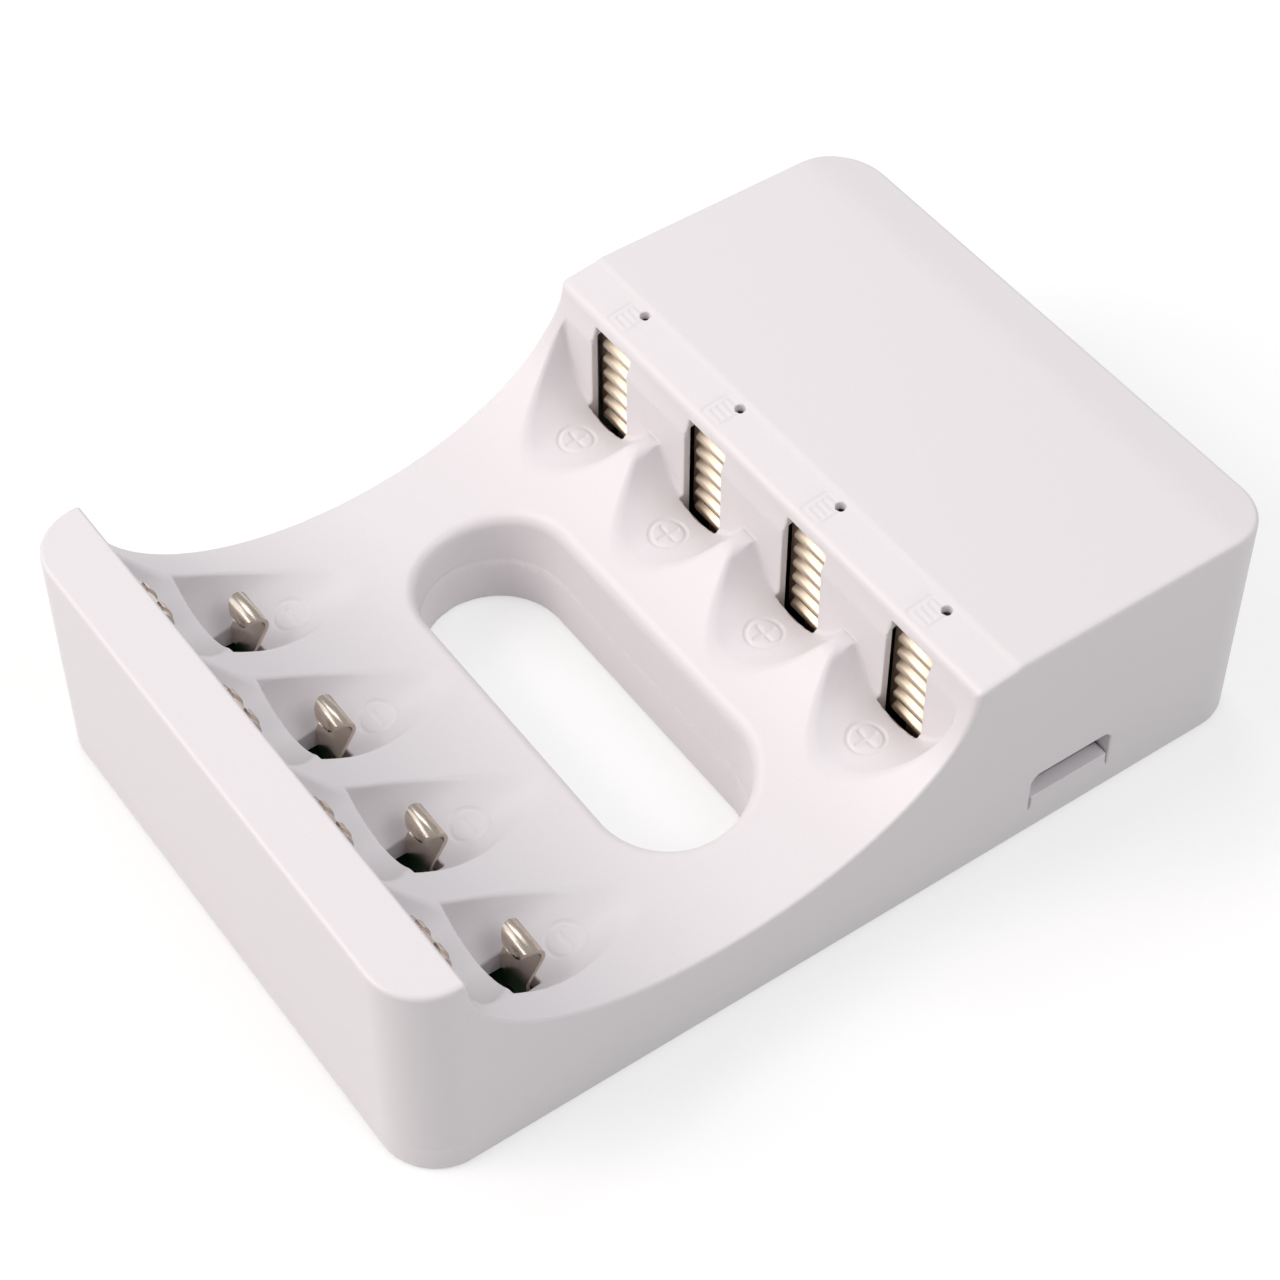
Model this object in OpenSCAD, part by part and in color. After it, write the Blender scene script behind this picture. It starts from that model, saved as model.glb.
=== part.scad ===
// Four-bay desktop charger for AA and AAA rechargeable cells, fed by a side socket.
// Lengths are in millimetres. The front lip faces -Y, the housing with the positive
// contacts faces +Y, and the origin is under the middle of the case. Distances along
// the case are counted from its front face, and fy() turns them into Y.

/* [Case] */
// Width of the case, side to side
body_w = 63.8; // [58:0.2:72]
// Length of the housing behind the saddle
housing_l = 35.2; // [32:0.2:50]
// Height of the case
body_h = 25.5; // [23:0.1:28]
// Radius of the upright corners
corner_r = 5.6; // [4.5:0.1:6.4]
// Thickness of the outer walls
wall = 1.8; // [1.5:0.1:1.9]
// Thickness of the roof over the inner spaces
roof_t = 1.8; // [1.4:0.1:1.9]
// Height of the seam between the bottom cover and the shell
seam_z = 3.1; // [2.9:0.1:3.3]
// Thickness of the bottom cover's floor
floor_t = 1.7; // [1.5:0.1:1.8]
// Fall of the sloping strips at the front and rear of the housing top
bevel_drop = 0.7; // [0.4:0.1:0.9]
// Length of the sloping strip that holds the indicator holes
bevel_l = 4.6; // [4.2:0.1:6]
// Length of the slope at the rear edge
rear_slope_l = 5.5; // [3:0.1:8]

/* [Saddle and finger slot] */
// Thickness of the front lip at its top
lip_t = 6.2; // [6:0.1:6.4]
// Length of the elliptical saddle between lip and housing
saddle_l = 52.4; // [52:0.1:54]
// Height of the saddle's floor above the table
saddle_z = 9.5; // [9.2:0.1:10]
// Distance of the finger slot's ends from the sides of the case
slot_margin = 10.4; // [10.3:0.1:14]
// Opening of the finger slot, along the cells
slot_l = 14.5; // [12:0.1:15]
// Distance of the finger slot's centre from the front
slot_pos = 38.7; // [38:0.1:39.5]
// Thickness of the wall around the finger slot
slot_wall = 1.6; // [1.2:0.1:1.6]
// Distance of the seam inside the finger slot below the slab under the saddle
slot_seam_drop = 0.6; // [0.4:0.1:1.5]

/* [Cell bays] */
// Width left beside the outermost bays
bay_margin = 1.5; // [1:0.1:3]
// Diameter of an AA cell
aa_d = 14.5; // [14.2:0.1:14.6]
// Diameter of an AAA cell
aaa_d = 10.5; // [10.1:0.1:10.7]
// Height at which an AA cell rests
aa_rest_z = 13.1; // [12.9:0.1:13.4]
// Height at which an AAA cell rests, at the middle of its ramp
aaa_rest_z = 8.7; // [8.6:0.1:9]
// Slope of the AAA ramp, degrees
aaa_tilt = 8.3; // [7.9:0.1:8.6]
// Distance of the AAA ramp's front wall from the front
aaa_front = 12.5; // [12.3:0.05:12.7]

/* [Contacts] */
// Thickness of the contact strip
strip_t = 0.4; // [0.3:0.05:0.45]
// Width of a positive contact
plus_w = 7.2; // [6.8:0.1:8]
// Width of the ribs pressed across a positive contact
rib_w = 4.4; // [3.6:0.1:5]
// Width of a contact window
window_w = 5.6; // [5:0.1:6]
// Depth of the contact windows' top edge below the case top
window_sink = 2; // [2:0.1:3]
// Spacing of the ribs
rib_pitch = 1.88; // [1.6:0.02:1.9]
// Width of an AA negative spring
spring_w = 5.2; // [4.6:0.1:6]
// Width of an AAA negative hook
hook_w = 4.1; // [3.6:0.1:4.6]

/* [Charging socket] */
// Distance of the socket's centre behind the saddle
usb_setback = 12.6; // [12.4:0.1:16]
// Width of the socket opening in the side wall
usb_w = 9.4; // [9:0.1:10]
// Height of the socket opening above the table, at its top edge
usb_top = 7.7; // [7.6:0.1:8.2]

/* [Hidden] */
$fn = 64;
// Overshoot that carries a cut past a face
over = 1;
// Play between mating pieces, and between pieces that move past each other
fit = 0.15;
running_gap = 0.3;

bay_count = 4;
bays = [0 : bay_count - 1];
bay_pitch = (body_w - 2 * bay_margin) / bay_count;
function bay_x(i) = (i - (bay_count - 1) / 2) * bay_pitch;
function fy(d) = d - body_l / 2;

// Main lengths worked out from the driving ones
saddle_end = lip_t + saddle_l;
body_l = saddle_end + housing_l;
saddle_depth = body_h - saddle_z;
slot_w = body_w - 2 * slot_margin;

// Inside of the shell and the cover's locating tongue
inner_w = body_w - 2 * wall;
inner_l = body_l - 2 * wall;
inner_r = corner_r - wall;
tongue_t = 0.9;
tongue_h = 1.4;
tongue_in = fit + tongue_t;
roof_z = body_h - roof_t;

// Bays: the AA bays lie level, the AAA ramps slope down to the front
aa_r = aa_d / 2 + 0.1;
aa_axis_z = aa_rest_z + aa_r;
aa_front = lip_t + 0.7;
aaa_r = aaa_d / 2 + 0.35;
aaa_rest_run = 8.9;
aaa_ramp_run = 20;
aaa_rest_pos = aaa_front + aaa_rest_run;
aaa_ramp_end = aaa_front + aaa_ramp_run;
aaa_low_z = aaa_rest_z - aaa_rest_run * tan(aaa_tilt);
// Underside of the slab below the saddle
slab_t = 1.4;
ceiling_z = aaa_low_z - slab_t;
slot_seam_z = ceiling_z - slot_seam_drop;

// Housing front: window plane, its wall with a thin web at each contact, ridges between bays.
// Each window starts a little in front of that plane and below the trough's floor
plus_plane = saddle_end - 0.7;
plus_web = 0.8;
plus_back = plus_plane + plus_web;
house_back = saddle_end + 0.9;
pocket_top = body_h - window_sink - 1.1;
window_top = body_h - window_sink;
ridge_z = aa_rest_z + 4.4;
ridge_relief_l = 8;
window_step = 0.4;
window_foot_z = aa_rest_z - 2.2;

// Screws from below: towers in the cover, bosses in the shell
screw_d = 2;
screw_head_d = 4;
screw_head_h = 1.1;
screw_sunk = 1.4;
screw_cross_w = 0.6;
screw_tip_z = ceiling_z + 1.5;
tower_d = 5.2;
boss_d = 3.8;
boss_inset = 2.2;
front_boss_pos = slot_pos - 6.5;
rear_boss_inset = 4.4;
screw_spots = [
  for (x = [-1, 1]) [x * (inner_w / 2 - boss_inset), fy(front_boss_pos)],
  for (x = [-1, 1]) [x * (inner_w / 2 - rear_boss_inset), fy(body_l - wall - rear_boss_inset)]
];

// Circuit boards on posts of the bottom cover, with room for the leads above them
board_t = 1.2;
lead_d = 1;
lead_gap = 0.2;
board_top = ceiling_z - lead_d - lead_gap;
board_z = board_top - board_t;
board_r = 2.5;
board_w = inner_w - 2 * (tongue_in + running_gap);
front_board_pos = wall + tongue_in + running_gap;
main_board_pos = plus_back - 1.2;
tower_room = 2.5;
main_board_end = body_l - wall - rear_boss_inset - tower_d / 2 - tower_room;
main_board_l = main_board_end - main_board_pos;
post_d = 3.4;
post_rows = [front_board_pos + 6.5, main_board_pos + 4.5, main_board_end - 4];

// Positive contact: a wave of ribs between two flat rails, and a tail in the board
rib_count = 6;
rib_depth = 0.45;
rib_y = plus_back + 0.08 + rib_depth + strip_t / 2;
rail_y = rib_y + rib_depth;
rail_w = (plus_w - rib_w) / 2 + 0.2;
rail_x = (plus_w - rail_w) / 2;
plus_sink = 1.05;
rib_foot = 0.6;
plus_top = window_top - plus_sink;
plus_low = plus_top - rib_count * rib_pitch;
plus_leg_z = plus_low - rib_foot;
// Tails of all contacts: their slots leave room for the sprung ones to rock
tail_w = 2;
tail_end = board_z - 0.1;
tail_room = 0.45;
shoulder_gap = 0.4;

// AA negative spring: a leg in the lip whose upper end bulges into the bay
spring_y = lip_t - 1.8;
lip_back = lip_t - 0.9;
spring_low = 1.8;
spring_nose = [lip_t, aa_axis_z - spring_low];
spring_nose_r = 2.2;
spring_wrap = [-40, 50];
spring_knee_z = spring_nose[1] - 5.2;
spring_tip_l = 1.5;
spring_slot_w = 8.8;
spring_slot_top = roof_z - 0.1;
spring_rib_w = 0.9;
spring_rib_h = 0.25;
spring_rib_x = 1.4;
spring_rib_wrap = [-30, 45];

// AAA negative hook: a leg that leans back above the ramp and curls over its nose to a tongue
hook_run = 4.3;
hook_rise = 3.1;
hook_nose = [aaa_front + hook_run, aaa_rest_z + hook_rise];
hook_nose_r = 1.07;
hook_lean = 32;
hook_over = 140;
hook_tongue = 0.6;
hook_knee_z = aaa_low_z + 1.4;
hook_start = hook_nose + hook_nose_r * [cos(-hook_lean), sin(-hook_lean)];
hook_root = hook_start[0] - (hook_start[1] - hook_knee_z) * tan(hook_lean);
hook_tip_r = 1.5;
// The front board ends behind the hooks, and the leads start on that end
board_tail = 2.5;
lead_land = 1;
front_board_l = hook_root + board_tail - front_board_pos;
lead_start = hook_root + board_tail - lead_land;
hook_hole_w = hook_w + 2 * running_gap;
hook_hole_l = 4.8;
hook_hole_up = 2;

// Indicator holes in the sloping strip, and the clear guide below them
led_setback = 3.6;
led_pos = saddle_end + led_setback;
led_hole_d = 1;
guide_tip_d = led_hole_d - 2 * 0.1;
guide_tip_sunk = 0.9;
guide_rod_d = 2.2;
guide_bar = 1.5;
guide_bar_rise = 10;
guide_bar_z = board_top + guide_bar_rise;

// Charging socket
usb_pos = saddle_end + usb_setback;
usb_corner_r = 1;
usb_lip_z = board_top - 0.05;
socket_w = 7.6;
socket_h = 2.6;
socket_depth = 5.6;
socket_skin = 0.3;
socket_face = inner_w / 2 - 0.2;
socket_z = board_top;
tongue_plate_t = 0.7;
tongue_plate_gap = 0.8;

// Parts soldered on the main board, row behind row from the lamps
led_size = [2, 1.2, 0.8];
transistor_size = [6.5, 3.5, 1.6];
lamp_gap = 0.65;
transistor_row = led_pos + (led_size[1] + transistor_size[1]) / 2 + lamp_gap;
resistor_size = [3.2, 1.6, 0.6];
resistor_gap = 1.45;
resistor_row = transistor_row + (transistor_size[1] + resistor_size[1]) / 2 + resistor_gap;
resistor_shift = 2;
back_row_l = main_board_end - led_pos;
inductor_size = [6.5, 6.5, 3.2];
inductor_row = led_pos + 0.45 * back_row_l;
controller_size = [9.9, 6, 1.7];
controller_row = led_pos + 0.65 * back_row_l;
can_d = 6.3;
can_h = 7.7;
can_gap = 1.2;
can_x = -1.25 * bay_pitch;
can_row = led_pos + 0.8 * back_row_l;

// Leads beside the finger slot
lead_side_gap = 0.55;
lead_x = slot_w / 2 + slot_wall + lead_side_gap + lead_d / 2;
lead_end = main_board_pos + 0.7;

// Rounded rectangle centred on the origin
module rounded(w, l, r) {
  square([w, l - 2 * r], center = true);
  square([w - 2 * r, l], center = true);
  for (x = [-1, 1], y = [-1, 1])
    translate([x * (w / 2 - r), y * (l / 2 - r)]) circle(r);
}

// Slot outline with round ends, lying across the case
module stadium(w, l) {
  square([w - l, l], center = true);
  for (x = [-1, 1])
    translate([x * (w - l) / 2, 0]) circle(d = l);
}

// Block between two heights, from an outline drawn in plan
module upright(z0, z1) {
  translate([0, 0, z0]) linear_extrude(z1 - z0) children();
}

// Extrudes a side-view outline (distance from front, height) across the case
module across(w, x = 0) {
  translate([x - w / 2, fy(0), 0]) rotate([90, 0, 90]) linear_extrude(w) children();
}

// Box between two distances from the front and two heights, centred on x
module block(w, d0, d1, z0, z1, x = 0) {
  translate([x - w / 2, fy(d0), z0]) cube([w, d1 - d0, z1 - z0]);
}

// Points along an arc of the side view
function arc(c, r, a0, a1, steps = 10) =
  [for (i = [0 : steps]) let (a = a0 + (a1 - a0) * i / steps) c + r * [cos(a), sin(a)]];

// Unit normal of a path at point i
function path_normal(p, i) =
  let (d = p[min(i + 1, len(p) - 1)] - p[max(i - 1, 0)]) [-d[1], d[0]] / norm(d);

// Outline of a strip of thickness t bent along a path
function strip(p, t) = concat(
  [for (i = [0 : len(p) - 1]) p[i] + t / 2 * path_normal(p, i)],
  [for (i = [len(p) - 1 : -1 : 0]) p[i] - t / 2 * path_normal(p, i)]
);

// Round-bottomed trough, open upwards, drawn in the front view about the cell's axis
module trough(r) {
  circle(r);
  translate([-r, 0]) square([2 * r, body_h]);
}

// Elliptical cut between lip and housing
module saddle() {
  across(body_w + 2 * over)
    translate([lip_t + saddle_l / 2, body_h])
      scale([saddle_l / 2 / saddle_depth, 1]) circle(saddle_depth);
}

// Level troughs for the AA cells, with the ridges between them cut down at the housing
module aa_bays() {
  for (i = bays)
    translate([bay_x(i), fy(plus_plane), aa_axis_z])
      rotate([90, 0, 0]) linear_extrude(plus_plane - aa_front) trough(aa_r);
  block(bay_x(bay_count - 1) - bay_x(0), plus_plane - ridge_relief_l, plus_plane, ridge_z, body_h + over);
}

// Sloping troughs for the AAA cells, each ended by an upright front wall
module aaa_ramps() {
  for (i = bays)
    intersection() {
      translate([bay_x(i), fy(aaa_rest_pos), aaa_rest_z])
        rotate([aaa_tilt, 0, 0])
          translate([0, aaa_ramp_end, aaa_r])
            rotate([90, 0, 0]) linear_extrude(2 * aaa_ramp_end) trough(aaa_r);
      block(bay_pitch, aaa_front, aaa_ramp_end, 0, body_h, bay_x(i));
    }
}

// Windows for the positive contacts, each cut into the trough's floor and with a pocket behind
module plus_windows() {
  for (i = bays) {
    block(plus_w + 2 * running_gap, plus_back, house_back + over, ceiling_z - over, pocket_top, bay_x(i));
    block(window_w, plus_plane - window_step, plus_back + over, window_foot_z, window_top, bay_x(i));
  }
}

// Openings for the springs in the lip and for the hooks in the ramps
module negative_openings() {
  for (i = bays) {
    block(spring_slot_w, lip_back - over, aa_front + over, spring_knee_z, spring_slot_top, bay_x(i));
    block(hook_hole_w, aaa_front, aaa_front + hook_hole_l, ceiling_z - over,
          aaa_low_z + hook_hole_up, bay_x(i));
  }
}

// Sloping strips at the front and the rear of the housing top
module top_slopes() {
  front_rise = bevel_drop / bevel_l;
  rear_fall = bevel_drop / rear_slope_l;
  across(body_w + 2 * over)
    polygon([
      [saddle_end - over, body_h - bevel_drop - over * front_rise],
      [saddle_end + bevel_l, body_h],
      [saddle_end + bevel_l, body_h + over],
      [saddle_end - over, body_h + over]
    ]);
  across(body_w + 2 * over)
    polygon([
      [body_l - rear_slope_l, body_h],
      [body_l + over, body_h - bevel_drop - over * rear_fall],
      [body_l + over, body_h + over],
      [body_l - rear_slope_l, body_h + over]
    ]);
}

// Hollow of the shell: low under the saddle, tall in the lip and in the housing
module shell_hollow() {
  difference() {
    upright(seam_z - over, roof_z) rounded(inner_w, inner_l, inner_r);
    block(body_w, lip_back, house_back, ceiling_z, body_h);
  }
}

// Opening for the charging plug in the right wall
module usb_notch() {
  translate([inner_w / 2 - over, fy(usb_pos), seam_z])
    rotate([90, 0, 90]) linear_extrude(wall + 2 * over)
      rounded(usb_w, 2 * (usb_top - seam_z), usb_corner_r);
}

module top_shell() {
  color("#ece9ea")
    difference() {
      union() {
        difference() {
          upright(seam_z, body_h) rounded(body_w, body_l, corner_r);
          shell_hollow();
        }
        translate([0, fy(slot_pos)])
          upright(slot_seam_z, ceiling_z + over)
            stadium(slot_w + 2 * slot_wall, slot_l + 2 * slot_wall);
        for (i = [0 : 1])
          translate(screw_spots[i]) upright(seam_z, ceiling_z + over) circle(d = boss_d);
        for (i = [2 : 3])
          translate(screw_spots[i]) upright(seam_z, roof_z + roof_t / 2) circle(d = boss_d);
      }
      saddle();
      top_slopes();
      aa_bays();
      aaa_ramps();
      plus_windows();
      negative_openings();
      usb_notch();
      translate([0, fy(slot_pos)]) upright(0, body_h) stadium(slot_w, slot_l);
      for (i = bays)
        translate([bay_x(i), fy(led_pos)]) upright(roof_z - over, body_h + over) circle(d = led_hole_d);
      for (p = screw_spots)
        translate(p) upright(seam_z - over, screw_tip_z + running_gap) circle(d = screw_d + 0.1);
    }
}

module bottom_cover() {
  color("#e9e6e7")
    difference() {
      union() {
        difference() {
          union() {
            upright(0, seam_z) rounded(body_w, body_l, corner_r);
            upright(floor_t, seam_z + tongue_h)
              rounded(inner_w - 2 * fit, inner_l - 2 * fit, inner_r - fit);
          }
          upright(floor_t, body_h)
            rounded(inner_w - 2 * tongue_in, inner_l - 2 * tongue_in, inner_r - tongue_in);
        }
        translate([0, fy(slot_pos)])
          upright(floor_t / 2, slot_seam_z) stadium(slot_w + 2 * slot_wall, slot_l + 2 * slot_wall);
        for (p = screw_spots)
          translate(p) upright(floor_t / 2, seam_z) circle(d = tower_d);
        board_posts();
        usb_lip();
      }
      translate([0, fy(slot_pos)]) upright(-over, body_h) stadium(slot_w, slot_l);
      for (p = screw_spots)
        translate(p) {
          upright(-over, seam_z + over) circle(d = screw_d + 2 * fit);
          upright(-over, screw_sunk) circle(d = screw_head_d + 2 * fit);
          // The locating tongue makes way for the shell's boss
          upright(seam_z, body_h) circle(d = boss_d + 2 * running_gap);
        }
    }
}

// Posts that carry the two boards
module board_posts() {
  for (x = [-1, 0, 1], d = post_rows)
    translate([x * bay_pitch, fy(d)]) upright(floor_t / 2, board_z) circle(d = post_d);
}

// Raised piece of the cover's rim that closes the foot of the socket opening
module usb_lip() {
  lip_in = inner_w / 2 - fit - tongue_t / 2;
  translate([lip_in, fy(usb_pos - usb_w / 2 + fit), seam_z / 2])
    cube([body_w / 2 - lip_in, usb_w - 2 * fit, usb_lip_z - seam_z / 2]);
}

module case_screws() {
  color("#9a9c9f")
    for (p = screw_spots)
      translate(p)
        difference() {
          union() {
            upright(screw_sunk - screw_head_h, screw_sunk) circle(d = screw_head_d);
            upright(screw_sunk - screw_head_h / 2, screw_tip_z) circle(d = screw_d);
          }
          for (a = [0, 90])
            rotate(a) upright(0, screw_sunk - screw_head_h / 2)
              square([screw_head_d / 2, screw_cross_w], center = true);
        }
}

// Board outline with slots for the tails that stand in it
module board(pos, l, tails) {
  color("#2f6b3c")
    difference() {
      translate([0, fy(pos + l / 2)]) upright(board_z, board_top) rounded(board_w, l, board_r);
      for (i = bays, d = tails)
        block(tail_w + 2 * running_gap, d - strip_t / 2 - tail_room, d + strip_t / 2 + tail_room,
              board_z - over, board_top + over, bay_x(i));
    }
}

module main_board() {
  board(main_board_pos, main_board_l, [rail_y]);
}

module front_board() {
  board(front_board_pos, front_board_l, [spring_y, hook_root]);
}

module positive_contact(i) {
  steps = 12;
  ribs = [
    for (k = [0 : rib_count * steps])
      [rib_y + rib_depth * cos(360 * k / steps), plus_low + k * rib_pitch / steps]
  ];
  color("#d8cfc0") {
    across(rib_w, bay_x(i)) polygon(strip(concat([[rail_y, plus_leg_z]], ribs), strip_t));
    for (x = [-1, 1])
      across(rail_w, bay_x(i) + x * rail_x)
        polygon(strip([[rail_y, plus_leg_z], [rail_y, plus_top]], strip_t));
    across(tail_w, bay_x(i)) polygon(strip([[rail_y, tail_end], [rail_y, plus_leg_z + over]], strip_t));
  }
}

module aa_spring(i) {
  bulge = arc(spring_nose, spring_nose_r, spring_wrap[0], spring_wrap[1]);
  tip = bulge[len(bulge) - 1] + spring_tip_l * [-sin(spring_wrap[1]), cos(spring_wrap[1])];
  path = concat([[spring_y, board_top + shoulder_gap], [spring_y, spring_knee_z]], bulge, [tip]);
  color("#cfc8be") {
    across(spring_w, bay_x(i)) polygon(strip(path, strip_t));
    across(tail_w, bay_x(i)) polygon(strip([[spring_y, tail_end], [spring_y, board_top + over]], strip_t));
    for (x = [-1, 1])
      across(spring_rib_w, bay_x(i) + x * spring_rib_x)
        polygon(strip(arc(spring_nose, spring_nose_r + spring_rib_h, spring_rib_wrap[0], spring_rib_wrap[1]),
                      strip_t));
  }
}

module aaa_hook(i) {
  curl = arc(hook_nose, hook_nose_r, -hook_lean, hook_over);
  tip = curl[len(curl) - 1] + hook_tongue * [-sin(hook_over), cos(hook_over)];
  path = concat([[hook_root, board_top + shoulder_gap], [hook_root, hook_knee_z]], curl, [tip]);
  corner = hook_w / 2 - hook_tip_r;
  color("#cdc4b8") {
    difference() {
      across(hook_w, bay_x(i)) polygon(strip(path, strip_t));
      // Rounded corners of the tongue
      for (x = [-1, 1])
        translate([bay_x(i) + x * corner, fy(tip[0]) + hook_tip_r, hook_nose[1] - hook_nose_r / 2])
          linear_extrude(3 * hook_nose_r)
            difference() {
              translate([x > 0 ? 0 : -hook_w, -hook_w]) square([hook_w, hook_w]);
              circle(hook_tip_r);
            }
    }
    across(tail_w, bay_x(i)) polygon(strip([[hook_root, tail_end], [hook_root, board_top + over]], strip_t));
  }
}

// Insulated lead: two run on each side of the finger slot
module negative_lead(i) {
  side = i < bay_count / 2 ? -1 : 1;
  outward = (i == 0 || i == bay_count - 1) ? lead_d + lead_gap : 0;
  color("#2a2b2e")
    translate([side * (lead_x + outward), fy(lead_start), board_top + lead_d / 2])
      rotate([-90, 0, 0]) cylinder(d = lead_d, h = lead_end - lead_start);
}

// Folded steel shell of the inlet, open to the right
module usb_socket() {
  color("#b9bcc0")
    translate([socket_face - socket_depth, fy(usb_pos), socket_z])
      difference() {
        translate([0, -socket_w / 2, 0]) cube([socket_depth, socket_w, socket_h]);
        translate([socket_skin, socket_skin - socket_w / 2, socket_skin])
          cube([socket_depth, socket_w - 2 * socket_skin, socket_h - 2 * socket_skin]);
      }
}

// Insulating tongue that carries the inlet's own contacts
module usb_tongue() {
  color("#1f2023")
    translate([socket_face - socket_depth + socket_skin, fy(usb_pos), socket_z + socket_h / 2]) {
      translate([0, socket_skin - socket_w / 2, socket_skin - socket_h / 2])
        cube([1, socket_w - 2 * socket_skin, socket_h - 2 * socket_skin]);
      translate([0, tongue_plate_gap + socket_skin - socket_w / 2, -tongue_plate_t / 7])
        cube([socket_depth - over, socket_w - 2 * (socket_skin + tongue_plate_gap), tongue_plate_t]);
    }
}

// Clear rods over the indicator lamps, tied by a bar
module light_guide() {
  bevel_z = body_h - bevel_drop * (1 - (led_pos - saddle_end) / bevel_l);
  rod_foot = board_top + led_size[2] + 0.2;
  color("#e8f1f2") {
    for (i = bays)
      translate([bay_x(i), fy(led_pos)]) {
        upright(rod_foot, roof_z - 0.1) circle(d = guide_rod_d);
        upright(roof_z - over, bevel_z - guide_tip_sunk) circle(d = guide_tip_d);
      }
    block(bay_x(bay_count - 1) - bay_x(0), led_pos - guide_bar / 2, led_pos + guide_bar / 2,
          guide_bar_z, guide_bar_z + guide_bar);
  }
}

// Part soldered on the main board, given by its size and the middle of its foot
module chip(size, x, d) {
  translate([x - size[0] / 2, fy(d) - size[1] / 2, board_top]) cube(size);
}

module indicator_leds() {
  color("#f3f1dc")
    for (i = bays) chip(led_size, bay_x(i), led_pos);
}

module charge_controller() {
  color("#222326") chip(controller_size, -bay_pitch / 4, controller_row);
}

module power_inductor() {
  color("#4a4b4f") chip(inductor_size, bay_pitch, inductor_row);
}

module filter_capacitors() {
  color("#c8cacc")
    for (k = [-1, 1])
      translate([can_x + k * (can_d + can_gap) / 2, fy(can_row)])
        upright(board_top, board_top + can_h) circle(d = can_d);
}

module charge_transistors() {
  color("#26272a")
    for (i = bays) chip(transistor_size, bay_x(i), transistor_row);
}

module sense_resistors() {
  color("#33353a")
    for (i = bays) chip(resistor_size, bay_x(i) - resistor_shift, resistor_row);
}

top_shell();
bottom_cover();
case_screws();
main_board();
front_board();
positive_contact(0);  // positive_contact_1
positive_contact(1);  // positive_contact_2
positive_contact(2);  // positive_contact_3
positive_contact(3);  // positive_contact_4
aa_spring(0);  // aa_spring_1
aa_spring(1);  // aa_spring_2
aa_spring(2);  // aa_spring_3
aa_spring(3);  // aa_spring_4
aaa_hook(0);  // aaa_hook_1
aaa_hook(1);  // aaa_hook_2
aaa_hook(2);  // aaa_hook_3
aaa_hook(3);  // aaa_hook_4
negative_lead(0);  // negative_lead_1
negative_lead(1);  // negative_lead_2
negative_lead(2);  // negative_lead_3
negative_lead(3);  // negative_lead_4
usb_socket();
usb_tongue();
light_guide();
indicator_leds();
charge_controller();
power_inductor();
filter_capacitors();
charge_transistors();
sense_resistors();
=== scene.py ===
"""Looks of a four-bay charger for AA and AAA cells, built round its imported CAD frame."""

import math

import bmesh
import bpy
import numpy as np
from mathutils import Matrix, Vector


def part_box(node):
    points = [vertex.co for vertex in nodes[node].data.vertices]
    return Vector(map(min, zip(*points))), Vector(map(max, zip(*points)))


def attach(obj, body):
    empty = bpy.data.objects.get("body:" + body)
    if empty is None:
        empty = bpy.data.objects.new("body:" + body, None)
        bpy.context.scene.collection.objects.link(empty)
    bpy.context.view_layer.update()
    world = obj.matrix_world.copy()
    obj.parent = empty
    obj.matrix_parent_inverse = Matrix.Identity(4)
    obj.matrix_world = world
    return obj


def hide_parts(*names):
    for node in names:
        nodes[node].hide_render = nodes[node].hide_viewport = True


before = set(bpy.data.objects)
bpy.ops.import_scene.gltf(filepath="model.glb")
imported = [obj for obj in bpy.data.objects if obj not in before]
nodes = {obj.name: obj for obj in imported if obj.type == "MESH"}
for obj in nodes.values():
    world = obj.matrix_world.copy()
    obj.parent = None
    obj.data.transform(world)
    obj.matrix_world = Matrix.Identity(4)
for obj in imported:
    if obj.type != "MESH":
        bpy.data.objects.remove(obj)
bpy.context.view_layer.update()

MM = 0.001
# Keeps a division from meeting zero
tiny = 1e-9

# Sizes of the case in millimetres, read from the frame
shell_low, shell_high = (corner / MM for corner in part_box("top_shell"))
body_w = shell_high.x - shell_low.x
body_l = shell_high.y - shell_low.y
body_h = shell_high.z
seam_z = shell_low.z

# All sizes below are in millimetres too, and distances are counted from the front face

# Corners and edges of the case
corner_r = 5.6
edge_r = 0.45
saddle_edge_r = 0.3
house_edge_r = 0.8
house_ease_l = 2
foot_edge_r = 0.25
crisp_r = 0.12

# Walls, and the tongue that locates the cover in the shell
wall = 1.8
floor_t = 1.7
fit = 0.15
tongue_t = 0.9
tongue_h = 1.4
ceiling_z = 6.0
roof_z = body_h - 1.8
# How far a cut runs past the face that it opens
past = 1

# Top of the housing: a bevel that ends in a small step at the front, a slope at the rear
bevel_drop = 0.7
bevel_l = 4.6
bevel_step_l = 0.55
bevel_step = 0.22
bevel_blend = 0.05
bevel_overrun = 1.5
rear_slope_l = 5.5
rear_blend = 0.2

# Lip, saddle and finger slot
lip_t = 6.2
saddle_l = 52.4
saddle_depth = 16.0
saddle_end = lip_t + saddle_l
slot_w = 43.0
slot_l = 14.5
slot_pos = 38.7
slot_wall = 1.6
slot_seam_z = ceiling_z - 0.6
slot_step = 0.2
slot_edge_r = 1.1

# Cell bays: level troughs for AA cells, sloping ramps for AAA cells
bay_count = 4
bay_pitch = 15.2
bays = [(i - (bay_count - 1) / 2) * bay_pitch for i in range(bay_count)]
aa_r = 7.35
aa_rest_z = 13.1
aa_front = lip_t + 0.7
aa_end_r = 0.5
ridge_z = aa_rest_z + 4.4
ridge_relief_l = 8
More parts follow.
